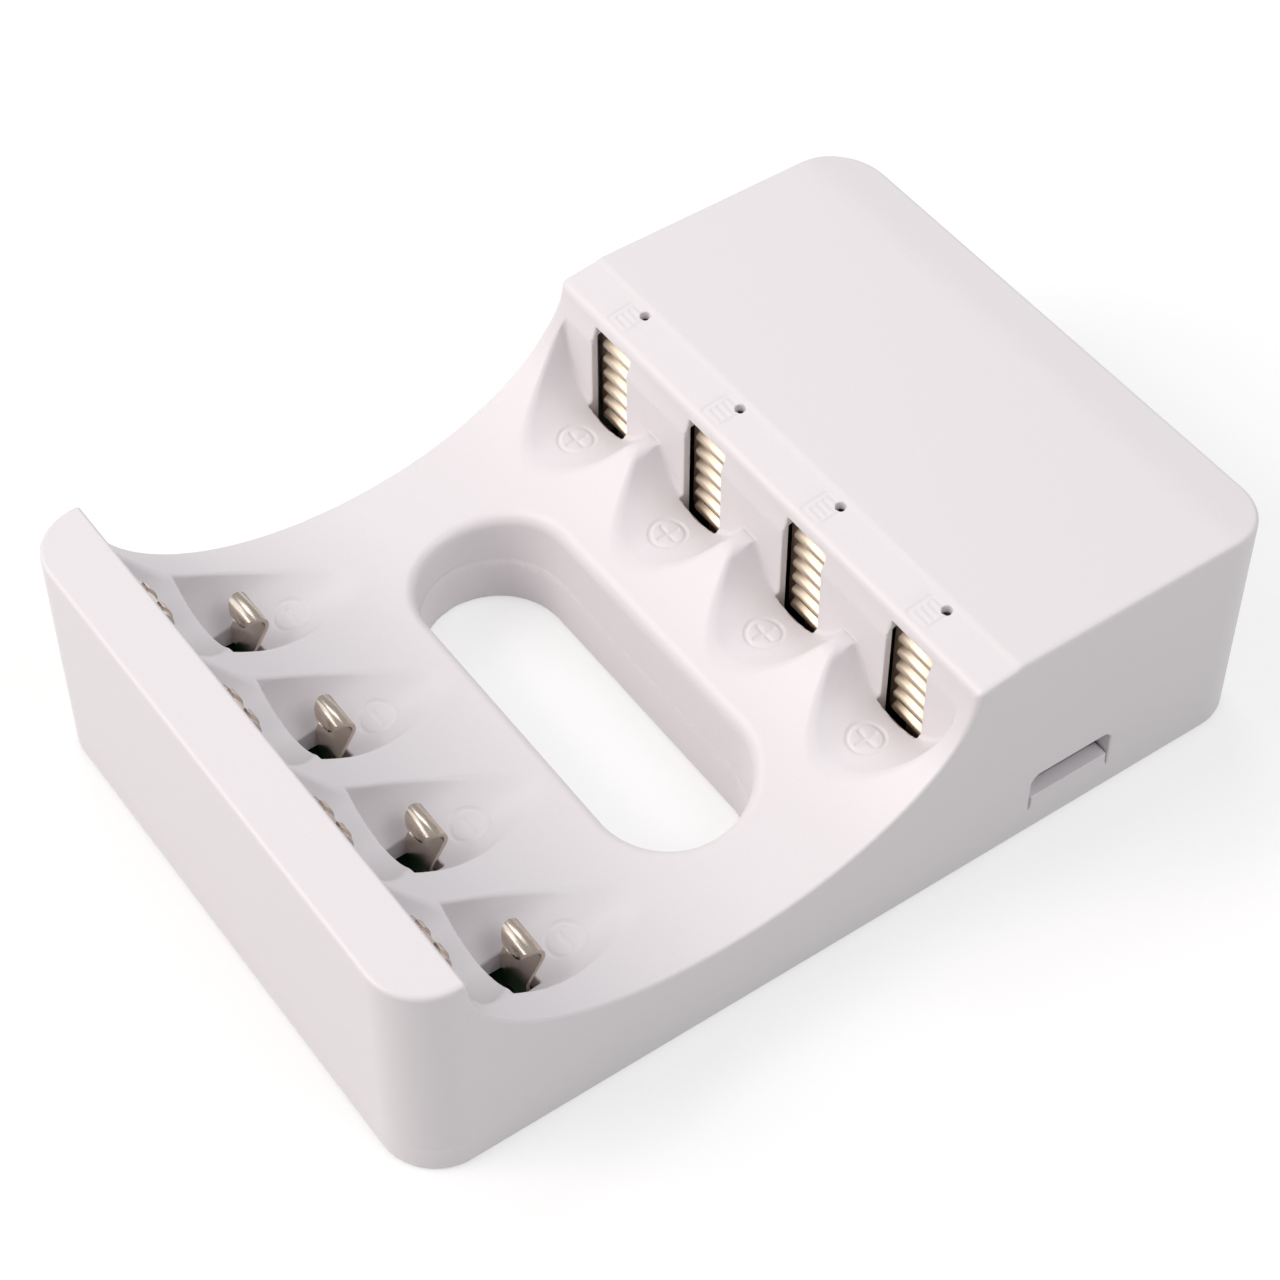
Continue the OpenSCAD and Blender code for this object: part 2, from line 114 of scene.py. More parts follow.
# Rounding of the bays' edges, and how much of it each millimetre from the housing front gives
bay_edge_r = 0.4
bay_edge_growth = 0.25
aaa_r = 5.6
aaa_rest_z = 8.7
aaa_rest_pos = 21.4
aaa_front = 12.5
aaa_ramp_end = 32.5
aaa_tilt = math.radians(8.3)
aaa_edge_r = 0.3

# Housing front: plane of the contact windows, back of their thin web, back of the wall
plus_plane = saddle_end - 0.7
plus_back = plus_plane + 0.8
house_back = saddle_end + 0.9
window_w = 5.6
window_step = 0.4
window_top = body_h - 2
window_foot_z = aa_rest_z - 2.2
pocket_w = 7.8
pocket_top = window_top - 1.1
led_pos = saddle_end + 3.6
led_hole_d = 1.0

# Openings for the springs in the lip and for the hooks in the ramps
lip_back = lip_t - 0.9
spring_slot_w = 8.8
spring_slot_z = (13.45, roof_z - 0.1)
hook_hole_w = 4.7
hook_hole_l = 4.8
hook_hole_top = 9.4

# Power inlet in the right wall
usb_pos = saddle_end + 12.6
usb_w = 9.4
usb_top = 7.7
usb_corner_r = 1.0
usb_lip_z = ceiling_z - 1.25
usb_lip_t = wall - 0.05

# Bottom cover: screws on the right, mirrored to the left, and posts under the boards
inner_x = body_w / 2 - wall
screw_spots = [(inner_x - 2.2, slot_pos - 6.5), (inner_x - 4.4, body_l - wall - 4.4)]
screw_hole_r = 1.15
screw_head_r = 2.15
screw_sunk = 1.4
tower_r = 2.6
boss_room_r = 2.2
post_r = 1.7
post_rows = (9.65, 62.0, 78.5)
board_z = ceiling_z - 2.4

# Marks sunk into the surface: rings with plus and minus signs, and a cell beside each lamp
mark_depth = 0.09
icon_depth = 0.06
groove_half = 0.26
# How near the surface a vertex lies that the marks may move
mark_reach = 0.2
ring_r = 1.74
plus_half = 1.05
minus_half = 0.8
plus_mark_pos = 54.1
minus_mark_pos = 21.45
icon_x = -0.8
icon_pos = 60.8
icon_half = (1.3, 1.4)
icon_corner_r = 0.3
icon_bar_half = 0.7
icon_bars = (-0.7, 0, 0.7)


def fy(distance):
    """Y of a distance from the front face, in millimetres."""
    return distance - body_l / 2


# Distance fields of the mouldings: negative inside the plastic


def round_and(a, b, r):
    """Overlap of two fields, with the edge between them rounded to radius r."""
    inner = np.minimum(np.maximum(a, b), -r)
    return inner + np.hypot(np.maximum(a + r, 0), np.maximum(b + r, 0))


def round_cut(a, b, r):
    """Field a with b cut out of it and the new edge rounded."""
    return round_and(a, -b, r)


def soft_max(a, b, blend):
    """The larger of two fields, eased over a difference of blend."""
    near = np.maximum(blend - np.abs(a - b), 0) / blend
    return np.maximum(a, b) + blend / 4 * near**2


def span(v, low, high):
    """Slab between two coordinates."""
    return np.abs(v - (low + high) / 2) - (high - low) / 2


def block(x, d, z, half_w, d_span, z_span):
    """Box centred on x = 0, between two distances from the front and two heights."""
    return np.maximum(np.maximum(np.abs(x) - half_w, span(d, *d_span)), span(z, *z_span))


def post(x, d, z, centre, r, z_span):
    """Upright cylinder."""
    return np.maximum(np.hypot(x - centre[0], d - centre[1]) - r, span(z, *z_span))


def rounded_rect(u, v, half_u, half_v, r):
    """Rectangle with round corners."""
    du = np.abs(u) - half_u + r
    dv = np.abs(v) - half_v + r
    return np.hypot(np.maximum(du, 0), np.maximum(dv, 0)) + np.minimum(np.maximum(du, dv), 0) - r


def case_outline(x, y, inset):
    """Outline of the case in plan, moved inwards."""
    return rounded_rect(x, y, body_w / 2 - inset, body_l / 2 - inset, corner_r - inset)


def stadium(x, d, grow):
    """Outline of the finger slot in plan, moved outwards."""
    return np.hypot(np.maximum(np.abs(x) - (slot_w - slot_l) / 2, 0), d - slot_pos) - slot_l / 2 - grow


def slope(d, z, d0, z0, run, rise):
    """Plane that climbs by rise over run, seen from the side."""
    return ((z - z0) * run - (d - d0) * rise) / math.hypot(run, rise)


def ellipse(d, z):
    """Saddle between lip and housing, as a first-order distance."""
    u = (d - lip_t - saddle_l / 2) / (saddle_l / 2)
    v = (z - body_h) / saddle_depth
    size = np.sqrt(u * u + v * v) + tiny
    steep = np.sqrt((u / (saddle_l / 2)) ** 2 + (v / saddle_depth) ** 2) / size + tiny
    return (size - 1) / steep


def trough(u, height, r):
    """Round-bottomed trough, open upwards; height is counted from its floor."""
    return np.where(height < r, np.hypot(u, height - r), np.abs(u)) - r


def bay_local(x):
    """Sideways place within the nearest bay."""
    nearest = np.clip(np.round(x / bay_pitch + (bay_count - 1) / 2), 0, bay_count - 1)
    return x - (nearest - (bay_count - 1) / 2) * bay_pitch


def outer_skin(x, y, d, z):
    """Upright walls and a flat top that slopes at both ends of the housing, with the saddle cut out."""
    bevel_run = bevel_l - bevel_step_l
    bevel = slope(d, z, saddle_end, body_h - bevel_drop, bevel_run, bevel_drop - bevel_step)
    step = slope(d, z, saddle_end + bevel_l, body_h, bevel_step_l, bevel_step)
    bevelled = soft_max(z - body_h, np.minimum(bevel, step), bevel_blend)
    top = np.where(d > saddle_end - bevel_overrun, bevelled, z - body_h)
    rear_slope = slope(d, z, body_l - rear_slope_l, body_h, rear_slope_l, -bevel_drop)
    top = soft_max(top, rear_slope, rear_blend)
    near_house = np.clip((d - saddle_end) / house_ease_l + 1, 0, 1)
    saddle_r = saddle_edge_r + (house_edge_r - saddle_edge_r) * near_house
    return round_cut(round_and(case_outline(x, y, 0), top, edge_r), ellipse(d, z), saddle_r)


def cut_bays(skin, x, d, z):
    """Skin with the cells' troughs cut; edges turn crisp towards the housing front."""
    u = bay_local(x)
    bay_r = np.clip((plus_plane - d) * bay_edge_growth, crisp_r, bay_edge_r)
    aa_bay = round_and(trough(u, z - aa_rest_z, aa_r), span(d, aa_front, plus_plane), aa_end_r)
    skin = round_cut(skin, aa_bay, bay_r)
    relief = (plus_plane - ridge_relief_l, plus_plane)
    ridges = block(x, d, z, bays[-1], relief, (ridge_z, 2 * body_h))
    skin = round_cut(skin, ridges, 2 * (bay_r - crisp_r))
    over_ramp = (z - aaa_rest_z) * math.cos(aaa_tilt) - (d - aaa_rest_pos) * math.sin(aaa_tilt)
    ramp = np.maximum(trough(u, over_ramp, aaa_r), span(d, aaa_front, aaa_ramp_end))
    skin = round_cut(skin, ramp, aaa_edge_r)
    return round_cut(skin, stadium(x, d, slot_step), slot_edge_r)


def shell_hollow(x, y, d, z):
    """Inside of the shell: low under the saddle, tall in the lip and in the housing."""
    hollow = np.maximum(case_outline(x, y, wall), z - roof_z)
    under_saddle = np.maximum(span(d, lip_back, house_back), ceiling_z - z)
    slot_ring = np.maximum(stadium(x, d, slot_wall), slot_seam_z - z)
    return np.maximum(hollow, -np.minimum(under_saddle, slot_ring))


def shell_openings(x, d, z):
    """Openings of the shell for contacts, lamps and plug."""
    u = bay_local(x)
    window_span = (plus_plane - window_step, house_back + past)
    pocket_span = (plus_back, house_back + past)
    spring_span = (lip_back - past, aa_front + past)
    hook_span = (aaa_front, aaa_front + hook_hole_l)
    lamp_hole = np.hypot(u, d - led_pos) - led_hole_d / 2
    plug_hole = rounded_rect(d - usb_pos, z - seam_z, usb_w / 2, usb_top - seam_z, usb_corner_r)
    return np.minimum.reduce([
        block(u, d, z, window_w / 2, window_span, (window_foot_z, window_top)),
        block(u, d, z, pocket_w / 2, pocket_span, (ceiling_z - past, pocket_top)),
        block(u, d, z, spring_slot_w / 2, spring_span, spring_slot_z),
        block(u, d, z, hook_hole_w / 2, hook_span, (ceiling_z - past, hook_hole_top)),
        np.maximum(lamp_hole, roof_z - past - z),
        np.maximum(plug_hole, inner_x - past - x),
    ])


def plain_shell(x, y, z):
    """Shell without its marks."""
    d = y + body_l / 2
    skin = cut_bays(outer_skin(x, y, d, z), x, d, z)
    shell = np.maximum(skin, -shell_hollow(x, y, d, z))
    return np.maximum(round_cut(shell, shell_openings(x, d, z), crisp_r), seam_z - z)


def line(u, v, half):
    """Distance from a straight line along u."""
    return np.hypot(np.maximum(np.abs(u) - half, 0), v)


def polarity_strokes(x, d):
    """Distance from the lines of the rings and of the signs in them, in plan."""
    u = bay_local(x)
    plus = d - plus_mark_pos
    minus = d - minus_mark_pos
    return np.minimum.reduce([
        np.abs(np.hypot(u, plus) - ring_r),
        line(u, plus, plus_half),
        line(plus, u, plus_half),
        np.abs(np.hypot(u, minus) - ring_r),
        line(u, minus, minus_half),
    ])


def icon_strokes(x, d):
    """Distance from the lines of the cell signs beside the lamps, in plan."""
    u = bay_local(x) - icon_x
    v = d - icon_pos
    strokes = [np.abs(rounded_rect(u, v, *icon_half, icon_corner_r))]
    strokes += [line(u, v - bar, icon_bar_half) for bar in icon_bars]
    return np.minimum.reduce(strokes)


def groove(stroke, depth):
    """Depth of a round-bottomed groove along a stroke."""
    return depth * np.maximum(1 - (stroke / groove_half) ** 2, 0)


def marked_shell(x, y, z):
    """Shell with its marks sunk into the top."""
    d = y + body_l / 2
    marks = groove(polarity_strokes(x, d), mark_depth) + groove(icon_strokes(x, d), icon_depth)
    return plain_shell(x, y, z) + marks


def near_marks(points):
    """Points of the visible top that lie close to a mark."""
    x, y, z = points.T
    d = y + body_l / 2
    close = np.minimum(polarity_strokes(x, d), icon_strokes(x, d)) < 2 * groove_half
    return close & (z > aaa_rest_z - past) & (np.abs(plain_shell(x, y, z)) < mark_reach)


def cover_rim(x, y, z):
    """Floor and rim of the bottom cover, with the tongue that locates it in the shell."""
    rim = np.maximum(round_and(case_outline(x, y, 0), -z, foot_edge_r), z - seam_z)
    tongue = np.maximum(case_outline(x, y, wall + fit), span(z, floor_t, seam_z + tongue_h))
    inside = np.maximum(case_outline(x, y, wall + fit + tongue_t), floor_t - z)
    return np.maximum(np.minimum(rim, tongue), -inside)


def cover_field(x, y, z):
    """Bottom cover: rim, slot wall, the socket's lip, posts under the boards and screw towers."""
    d = y + body_l / 2
    slot_ring = np.maximum(stadium(x, d, slot_wall), span(z, floor_t / 2, slot_seam_z))
    lip = np.maximum(span(x, body_w / 2 - usb_lip_t, body_w / 2), span(z, seam_z / 2, usb_lip_z))
    lip = np.maximum(lip, np.abs(d - usb_pos) - usb_w / 2 + fit)
    cover = np.minimum.reduce([cover_rim(x, y, z), slot_ring, lip])
    post_x = x - bay_pitch * np.clip(np.round(x / bay_pitch), -1, 1)
    for row in post_rows:
        cover = np.minimum(cover, post(post_x, d, z, (0, row), post_r, (floor_t / 2, board_z)))
    for spot in screw_spots:
        cover = np.minimum(cover, post(np.abs(x), d, z, spot, tower_r, (floor_t / 2, seam_z)))
        cover = np.maximum(cover, -post(np.abs(x), d, z, spot, boss_room_r, (seam_z, body_h)))
        cover = np.maximum(cover, -post(np.abs(x), d, z, spot, screw_head_r, (-past, screw_sunk)))
        cover = np.maximum(cover, -post(np.abs(x), d, z, spot, screw_hole_r, (-past, body_h)))
    return round_cut(cover, stadium(x, d, 0), crisp_r)


# Mesh of a distance field: fineness in millimetres, passes and budgets of triangles
mesh_step = bay_pitch / 60
slope_step = 0.01
least_slope = 0.1
settle_passes = 3
rim_passes = 2
mark_cuts = 3
mark_settle = 0.1
seam_band = 0.12
shading_step = 0.08
shell_triangles = 190000
cover_triangles = 80000


def grid_lines(low, high, step):
    """Even grid lines that run one step past both ends, centred on the stretch."""
    count = math.ceil((high - low) / step) + 2
    return (np.arange(count + 1) - count / 2) * step + (low + high) / 2


def all_inside(at, others, shape):
    """Edges with four cells around them."""
    return np.all([(at[:, k] > 0) & (at[:, k] < shape[k] - 1) for k in others], axis=0)


def edge_crossings(value, axes, axis):
    """Sign changes along the grid edges of one axis.

    Gives the place of each, the ring of four cells round its edge, and whether the edge starts inside.
    """
    others = [(axis + 1) % 3, (axis + 2) % 3]
    low = [slice(None)] * 3
    high = [slice(None)] * 3
    low[axis] = slice(None, -1)
    high[axis] = slice(1, None)
    start = value[tuple(low)]
    end = value[tuple(high)]
    at = np.argwhere((start < 0) != (end < 0))
    at = at[all_inside(at, others, value.shape)]
    a = start[tuple(at.T)]
    b = end[tuple(at.T)]
    place = np.stack([axes[k][at[:, k]] for k in range(3)], axis=1)
    place[:, axis] += (axes[axis][at[:, axis] + 1] - axes[axis][at[:, axis]]) * a / (a - b)
    ring = []
    for back in ((1, 1), (0, 1), (0, 0), (1, 0)):
        cell = at.copy()
        cell[:, others] -= back
        ring.append(np.ravel_multi_index(tuple(cell.T), [size - 1 for size in value.shape]))
    return place, np.stack(ring, axis=1), a < 0


def crossing_mesh(field, axes):
    """Quads through the cells of a grid in which the field changes sign."""
    value = field(axes[0][:, None, None], axes[1][None, :, None], axes[2][None, None, :])
    cell_count = math.prod(size - 1 for size in value.shape)
    total = np.zeros((cell_count, 3))
    hits = np.zeros(cell_count)
    quads = []
    for axis in range(3):
        place, ring, starts_inside = edge_crossings(value, axes, axis)
        for cell in ring.T:
            np.add.at(total, cell, place)
            np.add.at(hits, cell, 1)
        quads.append(np.where(starts_inside[:, None], ring, ring[:, ::-1]))
    used = np.flatnonzero(hits)
    renumber = np.zeros(cell_count, int)
    renumber[used] = np.arange(len(used))
    return total[used] / hits[used, None], renumber[np.concatenate(quads)]


def gradient(field, points, step):
    """Slope of the field at points, over a stretch of step to each side."""
    x, y, z = points.T
    return np.stack([
        field(x + step, y, z) - field(x - step, y, z),
        field(x, y + step, z) - field(x, y - step, z),
        field(x, y, z + step) - field(x, y, z - step),
    ], axis=1) / (2 * step)


def settle(field, points, reach):
    """Points moved onto the surface of the field, each step no longer than reach."""
    for _ in range(settle_passes):
        g = gradient(field, points, slope_step)
        steep = np.maximum((g * g).sum(1), least_slope)
        move = field(*points.T) / steep
        points = points - np.clip(move, -reach, reach)[:, None] * g
    return points


def wall_field(x, y, z):
    """Upright wall of the case, the same at every height z."""
    return case_outline(x, y, 0)


def shell_slot_field(x, y, z):
    """Upright wall of the finger slot in the shell, the same at every height z."""
    return stadium(x, y + body_l / 2, slot_step)


def cover_slot_field(x, y, z):
    """Upright wall of the finger slot in the cover, the same at every height z."""
    return stadium(x, y + body_l / 2, 0)


def square_rims(points, reach, slot_field):
    """Pulls the vertices beside the seams onto them, so that both seams run clean."""
    for height, upright in ((seam_z, wall_field), (slot_seam_z, slot_field)):
        x, y, z = points.T
        rim = (np.abs(z - height) < reach) & (np.abs(upright(x, y, z)) < reach)
        points[rim, 2] = height
        for _ in range(rim_passes):
            at = points[rim]
            points[rim] = at - upright(*at.T)[:, None] * gradient(upright, at, slope_step)
    return points


def seam_shading(points, slot_field, away):
    """Points at which normals are taken: beside the seams they move up or down the wall by away."""
    moved = points.copy()
    for height, upright in ((seam_z, wall_field), (slot_seam_z, slot_field)):
        beside = (np.abs(points[:, 2] - height) < seam_band) & (np.abs(upright(*points.T)) < seam_band)
        moved[beside, 2] = height + away
    return moved


def mesh_points(mesh):
    """Places of a mesh's vertices, in millimetres."""
    place = np.zeros(len(mesh.vertices) * 3)
    mesh.vertices.foreach_get("co", place)
    return place.reshape(-1, 3) / MM


def engrave(mesh, field, chosen):
    """Splits the faces whose corners are all chosen four ways, and settles them onto a finer field."""
    work = bmesh.new()
    work.from_mesh(mesh)
    picked = [face for face in work.faces if all(chosen[corner.index] for corner in face.verts)]
    edges = {edge for face in picked for edge in face.edges}
    bmesh.ops.subdivide_edges(work, edges=list(edges), cuts=mark_cuts, use_grid_fill=True)
    bmesh.ops.triangulate(work, faces=[face for face in work.faces if len(face.verts) > 4])
    work.to_mesh(mesh)
    work.free()
    points = mesh_points(mesh)
    close = near_marks(points)
    points[close] = settle(field, points[close], mark_settle)
    mesh.vertices.foreach_set("co", (points * MM).ravel())


def thinned(name, rough, budget):
    """Object whose mesh is thinned to a budget of triangles, most where it is flat."""
    piece = bpy.data.objects.new(name, rough)
    bpy.context.scene.collection.objects.link(piece)
    thin = piece.modifiers.new("thin", "DECIMATE")
    thin.ratio = budget / sum(len(face.vertices) - 2 for face in rough.polygons)
    mesh = bpy.data.meshes.new_from_object(piece.evaluated_get(bpy.context.evaluated_depsgraph_get()))
    piece.modifiers.clear()
    piece.data = mesh
    mesh.name = name
    return piece


def shade(mesh, field, slot_field, away):
    """Gives a mesh the normals of its field, so that thinning leaves no facets to see."""
    mesh.polygons.foreach_set("use_smooth", [True] * len(mesh.polygons))
    points = seam_shading(mesh_points(mesh), slot_field, away)
    normals = gradient(field, points, shading_step)
    normals /= np.maximum(np.linalg.norm(normals, axis=1), tiny)[:, None]
    mesh.normals_split_custom_set_from_vertices(normals.tolist())


def moulded_piece(name, field, slot_field, low, high, away, budget, fine_field=None):
    """Mesh object of a field in millimetres, with the marks of a finer field sunk into it.

    Beside the seams normals are taken a little way up or down the wall, by away, so that a seam shows
    as no more than a fine line.
    """
    axes = [grid_lines(low[k], high[k], mesh_step) for k in range(3)]
    points, quads = crossing_mesh(field, axes)
    points = square_rims(settle(field, points, mesh_step / 2), mesh_step, slot_field)
    rough = bpy.data.meshes.new(name + "_rough")
    rough.from_pydata((points * MM).tolist(), [], quads.tolist())
    if fine_field:
        engrave(rough, fine_field, near_marks(points))
    piece = thinned(name, rough, budget)
    shade(piece.data, fine_field or field, slot_field, away)
    return piece


# Materials


def linear(hex_colour):
    """Linear colour of an sRGB hex value."""
    parts = [int(hex_colour[i:i + 2], 16) / 255 for i in (1, 3, 5)]
    return [c / 12.92 if c <= 0.04045 else ((c + 0.055) / 1.055) ** 2.4 for c in parts] + [1]


def add_node(material, kind, settings=None, links=None):
    """Adds a shader node, sets its values or sockets, and links sockets to other nodes' outputs."""
    made = material.node_tree.nodes.new(kind)
    for key, value in (settings or {}).items():
        if isinstance(key, str) and hasattr(made, key):
            setattr(made, key, value)
        else:
            made.inputs[key].default_value = value
    for key, source in (links or {}).items():
        material.node_tree.links.new(source, made.inputs[key])
    return made


def grained(name, colours, grain_mm, rough, relief_mm, sockets, stretch=(1, 1, 1)):
    """Material whose colour, gloss and relief follow one noise with a real grain size."""
    material = bpy.data.materials.new(name)
    material.use_nodes = True
    material.node_tree.nodes.clear()
    place = add_node(material, "ShaderNodeTexCoord").outputs["Object"]
    place = add_node(material, "ShaderNodeMapping", {"Scale": stretch}, {"Vector": place}).outputs["Vector"]
    noise = add_node(material, "ShaderNodeTexNoise", {"Scale": 1 / (grain_mm * MM), "Detail": 3.0},
                     {"Vector": place}).outputs["Fac"]
    colour = add_node(material, "ShaderNodeMixRGB",
                      {"Color1": linear(colours[0]), "Color2": linear(colours[1])}, {"Fac": noise})
    gloss = add_node(material, "ShaderNodeMapRange",
                     {"To Min": rough[0], "To Max": rough[1]}, {"Value": noise})
    bump = add_node(material, "ShaderNodeBump", {"Distance": relief_mm * MM}, {"Height": noise})
    shader = add_node(material, "ShaderNodeBsdfPrincipled", sockets,
                      {"Base Color": colour.outputs["Color"], "Roughness": gloss.outputs["Result"],
                       "Normal": bump.outputs["Normal"]})
    add_node(material, "ShaderNodeOutputMaterial", None, {"Surface": shader.outputs["BSDF"]})
    return material


# White ABS from a spark-eroded tool: an even satin without clear reflections
white_abs = grained("white_abs_spark_eroded", ("#eeeaec", "#ebe6e9"), 0.3, (0.38, 0.46), 0.004,
                    {"IOR": 1.53})
# Nickel-plated strip, corrugated: a satin dulled by the forming; its warmer, browner tint than the rolled
# nickel is painted warm bounce light and brown shade from inside the contact windows
nickel_painted_warm_shade = grained("nickel_corrugated_strip_painted_warm_shade", ("#dfd2c0", "#cfbfa9"), 0.12, (0.36, 0.46), 0.001,
                       {"Metallic": 1.0}, (1, 0.06, 0.06))
# Nickel-plated strip, rolled: bright and slightly warm, with faint lines along the strip
nickel = grained("nickel_plated_rolled_strip", ("#d8ccc0", "#c8bbae"), 0.12, (0.2, 0.3), 0.001,
                 {"Metallic": 1.0}, (1, 0.06, 0.06))
# Zinc-plated steel, cold headed: dull grey with a slight mottle
zinc = grained("zinc_plated_headed_steel", ("#a9abad", "#8d9093"), 0.4, (0.3, 0.45), 0.002,
               {"Metallic": 1.0})
# Nickel-plated steel, folded: a clean silver box
socket_steel = grained("nickel_plated_folded_steel", ("#c4c6c9", "#b4b6ba"), 0.2, (0.2, 0.32), 0.001,
                       {"Metallic": 1.0})
# Glass-fibre board under green solder mask: dark, glossy, with a faint weave
board_mask = grained("green_solder_mask_board", ("#163f26", "#0f2f1b"), 0.5, (0.25, 0.4), 0.01,
                     {"IOR": 1.5})
# Black epoxy moulding compound: matt with a fine sparkle of filler
black_epoxy = grained("black_epoxy_moulded", ("#1d1d20", "#28282b"), 0.1, (0.5, 0.65), 0.004,
                      {"IOR": 1.55})
# Clear acrylic, polished: glassy with a slight haze
clear_acrylic = grained("clear_acrylic_polished", ("#f4f8f8", "#eaf1f1"), 1.0, (0.04, 0.1), 0.001,
                        {"IOR": 1.49, "Transmission Weight": 1.0})
# Lamp body of cast epoxy with phosphor: milky yellow
phosphor_epoxy = grained("phosphor_epoxy_cast", ("#efe7a8", "#e4d98f"), 0.2, (0.3, 0.4), 0.003,
                         {"IOR": 1.5})
# Ferrite, pressed and sintered: dark grey and stony
ferrite = grained("ferrite_pressed", ("#4a4b4f", "#3b3c40"), 0.25, (0.6, 0.75), 0.01, {"IOR": 2.0})
# Aluminium can, deep drawn: bright with lines along the draw
drawn_aluminium = grained("aluminium_deep_drawn", ("#d5d7d9", "#c3c5c8"), 0.15, (0.22, 0.36), 0.002,
                          {"Metallic": 1.0}, (1, 1, 0.05))
# PVC sleeve, extruded: black with a soft sheen
black_pvc = grained("black_pvc_extruded", ("#202124", "#18191b"), 0.3, (0.35, 0.5), 0.006,
                    {"IOR": 1.53}, (1, 0.1, 1))

# The positive contacts take the nickel whose warm tint is painted bounce light and shade
node_materials = {
    "top_shell": white_abs, "bottom_cover": white_abs, "positive_contact": nickel_painted_warm_shade,
    "aa_spring": nickel, "aaa_hook": nickel, "case_screws": zinc, "usb_socket": socket_steel,
    "main_board": board_mask, "front_board": board_mask, "usb_tongue": black_epoxy,
    "charge_controller": black_epoxy, "charge_transistors": black_epoxy, "sense_resistors": black_epoxy,
    "light_guide": clear_acrylic, "indicator_leds": phosphor_epoxy, "power_inductor": ferrite,
    "filter_capacitors": drawn_aluminium, "negative_lead": black_pvc,
}
strip_nodes = ("positive_contact", "aa_spring", "aaa_hook")
strip_ease = 0.06
strip_weld = 0.001
sharp_angle = math.radians(40)


# Pieces


def ease_edges(node):
    """Rounds the sharp edges of a strip a little and shades its bends smoothly."""
    node.data.polygons.foreach_set("use_smooth", [True] * len(node.data.polygons))
    weld = node.modifiers.new("weld", "WELD")
    weld.merge_threshold = strip_weld * MM
    bevel = node.modifiers.new("ease", "BEVEL")
    bevel.width = strip_ease * MM
    bevel.segments = 2
    bevel.limit_method = "ANGLE"
    bevel.angle_limit = sharp_angle
    bevel.harden_normals = True


def place_moulding(piece, node):
    """Puts a moulded piece in the place of its CAD node."""
    piece.data.materials.append(node_materials[node])
    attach(piece, "case")
    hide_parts(node)


place_moulding(
    moulded_piece("shell_moulding", plain_shell, shell_slot_field, (-body_w / 2, -body_l / 2, seam_z),
                  (body_w / 2, body_l / 2, body_h), seam_band, shell_triangles, marked_shell),
    "top_shell")
place_moulding(
    moulded_piece("cover_moulding", cover_field, cover_slot_field, (-body_w / 2, -body_l / 2, 0),
                  (body_w / 2, body_l / 2, slot_seam_z), -seam_band / 2, cover_triangles),
    "bottom_cover")

for name, node in nodes.items():
    family = name if name in node_materials else name.rsplit("_", 1)[0]
    node.data.materials.clear()
    node.data.materials.append(node_materials[family])
    if family in strip_nodes:
        ease_edges(node)


# Camera: lens and place solved from the case's edges, bays and corners in a 1280 x 1280 frame
photo_size = 1280
focal_px = 3150.77
sensor_mm = 36
camera_mm = (155.511, fy(-64.867), 231.914)
right = Vector((0.57763, 0.816298, 0.001138))
down = Vector((0.618627, -0.436844, -0.653045))
forward = Vector((-0.532582, 0.377922, -0.757318))
camera_data = bpy.data.cameras.new("camera")
camera_data.sensor_width = sensor_mm
camera_data.lens = focal_px / photo_size * sensor_mm
camera = bpy.data.objects.new("camera", camera_data)
camera_turn = Matrix((right, -down, -forward)).transposed().to_4x4()
camera.matrix_world = Matrix.Translation(Vector(camera_mm) * MM) @ camera_turn
bpy.context.scene.collection.objects.link(camera)
bpy.context.scene.camera = camera


# Stage and light: the lamps' distance, the paper's reach and its gap to the case, in metres
lamp_distance = 1.2
paper_reach = 3.0
paper_gap = 0.2 * MM
paper_glow = 0.5


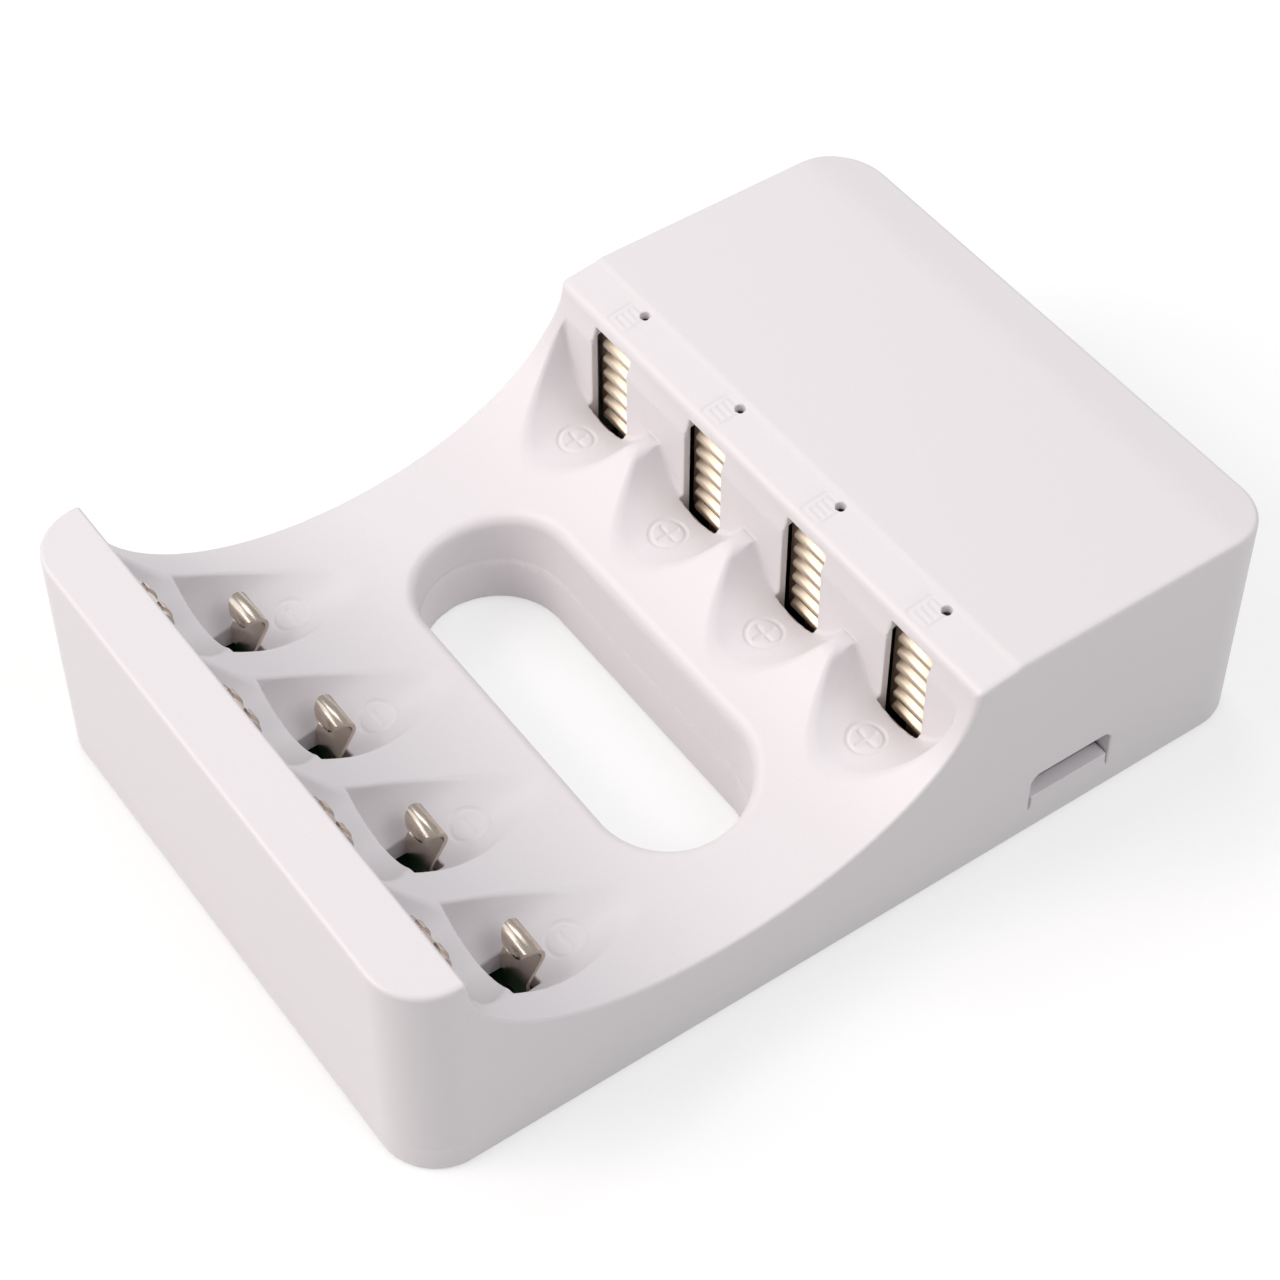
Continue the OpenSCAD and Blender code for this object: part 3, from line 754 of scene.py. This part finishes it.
def seen_white(material, strength):
    """Adds a white glow that only the camera, mirrors and glass see, over the shadow the surface keeps."""
    path = add_node(material, "ShaderNodeLightPath")
    seen = path.outputs["Is Camera Ray"]
    for ray in ("Is Glossy Ray", "Is Transmission Ray"):
        seen = add_node(material, "ShaderNodeMath", {"operation": "MAXIMUM"},
                        {0: seen, 1: path.outputs[ray]}).outputs["Value"]
    level = add_node(material, "ShaderNodeMath", {"operation": "MULTIPLY", 1: strength}, {0: seen})
    glow = add_node(material, "ShaderNodeEmission", {"Color": linear("#ffffff")},
                    {"Strength": level.outputs["Value"]})
    output = next(node for node in material.node_tree.nodes if node.type == "OUTPUT_MATERIAL")
    paper = output.inputs["Surface"].links[0].from_socket
    both = add_node(material, "ShaderNodeAddShader", None, {0: paper, 1: glow.outputs["Emission"]})
    material.node_tree.links.new(both.outputs["Shader"], output.inputs["Surface"])


def paper_floor():
    """Wide sheet of pale paper under the case, white to the camera."""
    mesh = bpy.data.meshes.new("floor")
    corners = [(x * paper_reach, y * paper_reach, 0) for x, y in ((-1, -1), (1, -1), (1, 1), (-1, 1))]
    mesh.from_pydata(corners, [], [(0, 1, 2, 3)])
    # Pale grey paper: quite matt, so it throws little light back at the walls
    paper = grained("grey_paper_sheet", ("#c6c6c6", "#c2c2c2"), 0.5, (0.85, 0.95), 0.01, {"IOR": 1.4})
    seen_white(paper, paper_glow)
    mesh.materials.append(paper)
    floor = bpy.data.objects.new("floor", mesh)
    floor.location.z = -paper_gap
    bpy.context.scene.collection.objects.link(floor)


def softbox(name, turn, rise, size, watts, colour):
    """Square lamp aimed at the case; turn is counted from the front towards the left, both in degrees."""
    level = lamp_distance * math.cos(math.radians(rise))
    place = Vector((-level * math.sin(math.radians(turn)), -level * math.cos(math.radians(turn)),
                    lamp_distance * math.sin(math.radians(rise))))
    data = bpy.data.lights.new(name, "AREA")
    data.size = size
    data.energy = watts
    data.color = linear(colour)[:3]
    lamp = bpy.data.objects.new(name, data)
    lamp.location = place
    lamp.rotation_euler = (-place).to_track_quat("-Z", "Y").to_euler()
    bpy.context.scene.collection.objects.link(lamp)


def room_light(strength):
    """Even light from all around."""
    world = bpy.data.worlds.new("studio")
    bpy.context.scene.world = world
    world.use_nodes = True
    background = world.node_tree.nodes["Background"]
    background.inputs["Color"].default_value = linear("#ffffff")
    background.inputs["Strength"].default_value = strength


paper_floor()
room_light(0.46)
softbox("key", 46, 36, 1.0, 3.3, "#fdfdff")
softbox("front", 22, 38, 0.6, 5.1, "#fff3ec")
softbox("left", 115, 52, 0.4, 1.3, "#fdfdff")
softbox("right", 245, 56, 0.6, 3.0, "#fbfcff")

bpy.context.scene.view_settings.view_transform = "Standard"
